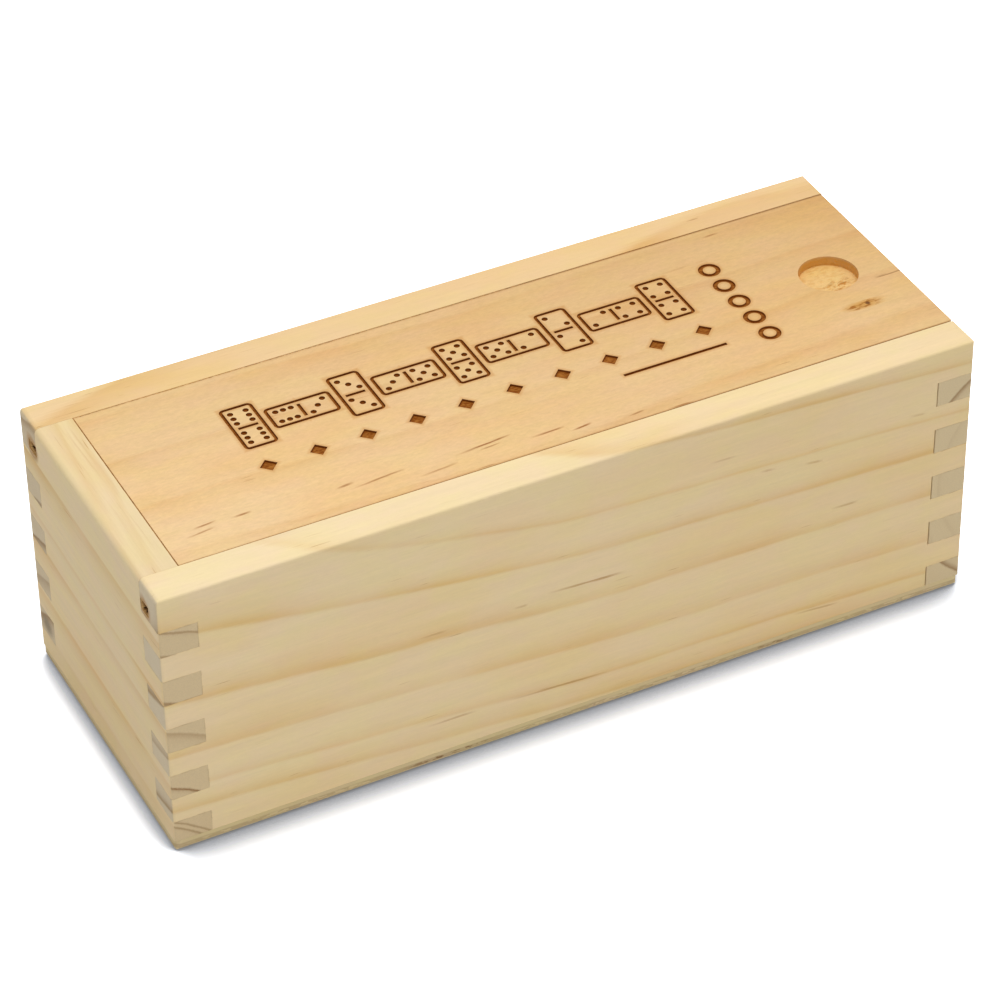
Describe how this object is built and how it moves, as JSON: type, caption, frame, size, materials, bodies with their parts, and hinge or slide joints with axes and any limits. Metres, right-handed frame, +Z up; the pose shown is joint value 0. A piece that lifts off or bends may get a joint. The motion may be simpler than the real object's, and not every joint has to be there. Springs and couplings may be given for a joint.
{
  "type": "sliding-lid wooden box",
  "caption": "Long finger-jointed wooden box for standing domino tiles, with a burnt-engraved lid that slides out of grooves at one end by a round finger recess.",
  "frame": {"origin": "middle of the bottom panel's underside, on which the box stands", "axes": "+X along the length, towards the end where the lid slides out; +Y towards the rear wall; +Z up"},
  "size_m": [0.16, 0.0614, 0.0564],
  "materials": {
    "wall_pine": "bare sanded pine, satin",
    "end_pine": "bare sanded pine, satin",
    "bottom_plywood": "thin plywood, matte",
    "lid_pine": "bare sanded pine, satin, with burnt engraving"
  },
  "bodies": {
    "box": {"front_wall": "wall_pine", "rear_wall": "wall_pine", "closed_end_wall": "end_pine", "open_end_wall": "end_pine", "bottom_panel": "bottom_plywood"},
    "lid": {"sliding_lid": "lid_pine"}
  },
  "joints": [
    {"name": "lid_slide", "type": "slide", "parent": "box", "child": "lid", "axis": [1, 0, 0], "range_m": [0, 0.16]}
  ]
}
